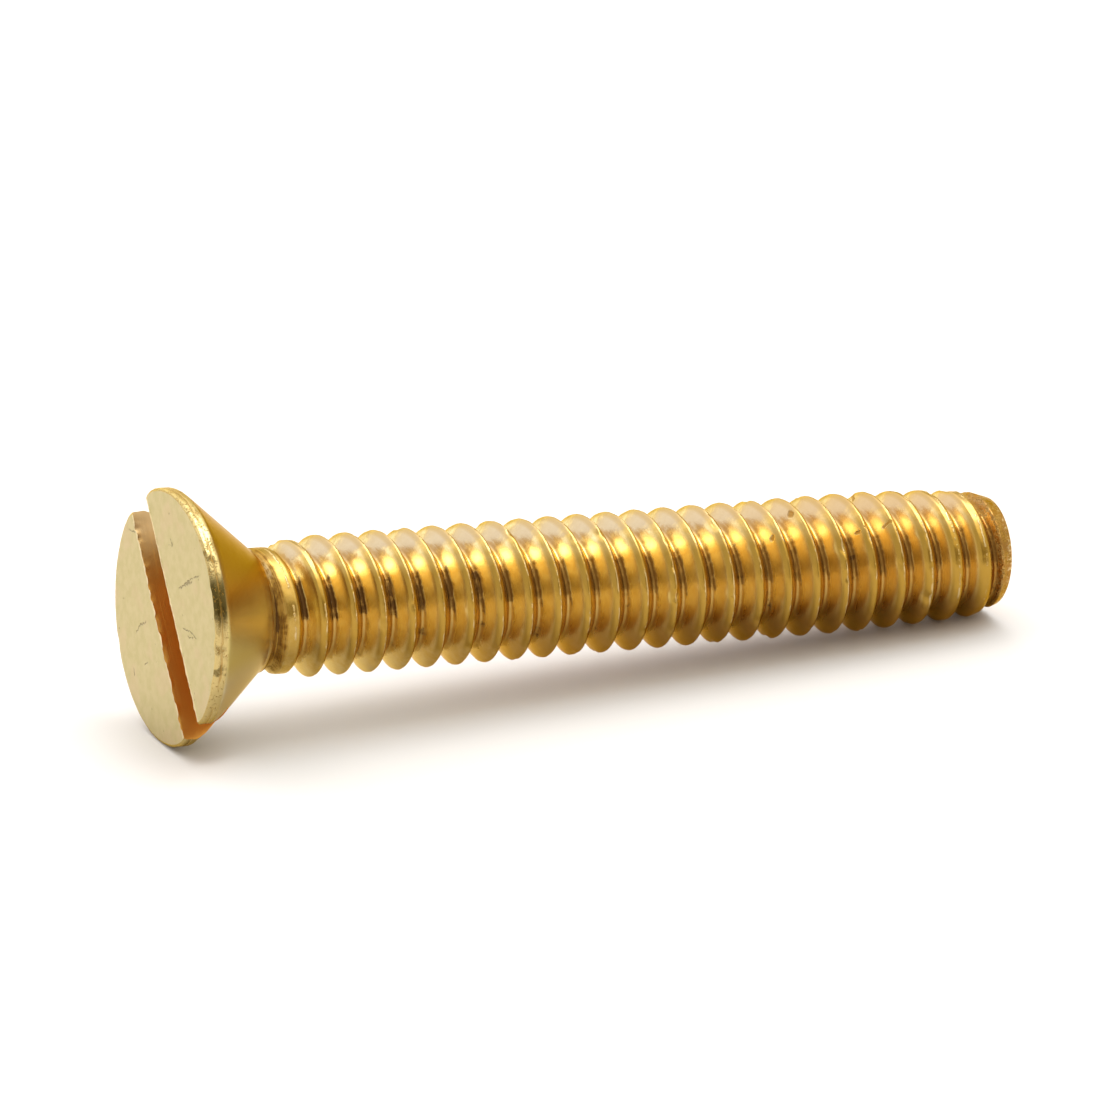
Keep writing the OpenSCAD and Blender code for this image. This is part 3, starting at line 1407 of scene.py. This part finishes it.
    def rubbed(self) -> tuple[Signal, Signal]:
        """Masks of bright marks: a broken seam along the crests, rubbed metal with a painted
        highlight, and chips at the flat end.

        Returns:
            The two masks.
        """
        # Pale line along the crests, none on their underside: rubbed metal and painted highlight
        seam = (self.past - 0.05 + self.uneven(0.08) + (self.ragged - 0.5) * 0.10).size()
        seam = seam.step(0.05, 0.01) * self.on_thread
        seam = seam * (self.cloud + self.ragged * 0.9).step(0.90, 1.02)
        seam = seam * (1.0 - self.on_point) * self.x.step(1.5, 0.7)
        chips = (self.grain * 0.6 + self.ragged * 0.4).step(0.50, 0.58)
        end = self.point.length
        return seam, chips * self.z.step(end - 0.30, end - 0.12)

    def marred_and_shaded(self) -> tuple[Signal, Signal]:
        """Masks of the land's dark band towards -Y and up, a painted dark reflection, with its
        tarnished patches, and of nicks, pits, specks and the land's rubbed ridge.

        Returns:
            The two masks.
        """
        x, y, z, blot = self.x, self.y, self.z, self.blot
        # Band on the land's side towards -Y and up: painted dark reflection; the cloud patches are
        # tarnished
        land_tarnish_and_shade = (x + 1.85 + self.uneven(0.4)).size().step(0.95, 0.35) * y.step(0.0, -1.0)
        land_tarnish_and_shade = land_tarnish_and_shade.higher((self.cloud + blot * 0.5).step(0.87, 0.95) * 0.7) * self.on_land
        nicks = self.strokes(self.wavering(4.0, 0.08), self.nicks)
        pits = (self.grain * 0.6 + blot * 0.4 - x * 0.01).step(0.56, 0.62) * self.on_land
        ridge = (z - 0.22 + self.uneven(0.16)).size().step(0.05, 0.01) * self.on_land
        ridge = ridge * self.cloud.step(0.35, 0.55)
        specks = (self.grain * 0.5 + blot * 0.5 + x * 0.015).step(0.46, 0.40) * self.on_point
        return land_tarnish_and_shade, nicks.higher(pits * 0.7).higher(ridge * 0.6).higher(specks * 0.8)

    def build(self) -> bpy.types.Material:
        """Makes the material.

        Returns:
            The material.
        """
        stain_and_shade, soot_and_shade = self.stained_and_shaded()
        seam, chips = self.rubbed()
        land_tarnish_and_shade, spoilt = self.marred_and_shaded()
        colour = self.graph.layers(
            self.toned(self.bare()),
            # Grooves' brown: oxide and painted shade
            (stain_and_shade * 0.85, self.stain_and_shade),
            # Near-black in the roots: painted dark reflection, dark patches and the neck's oxide
            (soot_and_shade * 0.93, self.soot_and_shade),
            # Pale crest line, rubbed metal and painted highlight, and chips at the end
            (seam.higher(chips) * 0.85, self.worn),
            # Land's dark band, a painted dark reflection, and its tarnished patches
            (land_tarnish_and_shade * 0.92, self.tarnish_and_shade),
            (spoilt * 0.85, self.stain_and_shade))
        dirt_and_shade = stain_and_shade.higher(soot_and_shade).higher(spoilt)
        roughness = 0.20 + self.lines * 0.10 + dirt_and_shade * 0.2
        height = self.lines * 0.002 + self.grain * 0.0014 + self.blot * 0.003 + seam * 0.012
        height = height - spoilt * 0.03 + soot_and_shade * self.lines * 0.03
        metal = 1.0 - soot_and_shade * 0.15 - spoilt * 0.2
        return self.dress(colour, roughness, metal.higher(0.2), height)


def main() -> None:
    """Builds the screw, its studio and the camera; the screw's mesh is logged."""
    logging.basicConfig(level=logging.INFO, format="%(name)s: %(message)s")
    ViewPoint().build()
    Studio().build()
    maker = MachineScrew()
    screw = maker.build()
    body = RolledBrass(maker.lie, head=maker.head, thread=maker.thread, point=maker.point)
    finishes = {
        Finish.FACE: CutFace(maker.lie).build(maker.slot),
        Finish.SLOT: SawnSlot(maker.lie).build(maker.slot),
        Finish.BODY: body.build(),
    }
    for finish in Finish:
        screw.data.materials.append(finishes[finish])
    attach(screw, "root")
    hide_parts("screw")


if __name__ == "__main__":
    main()
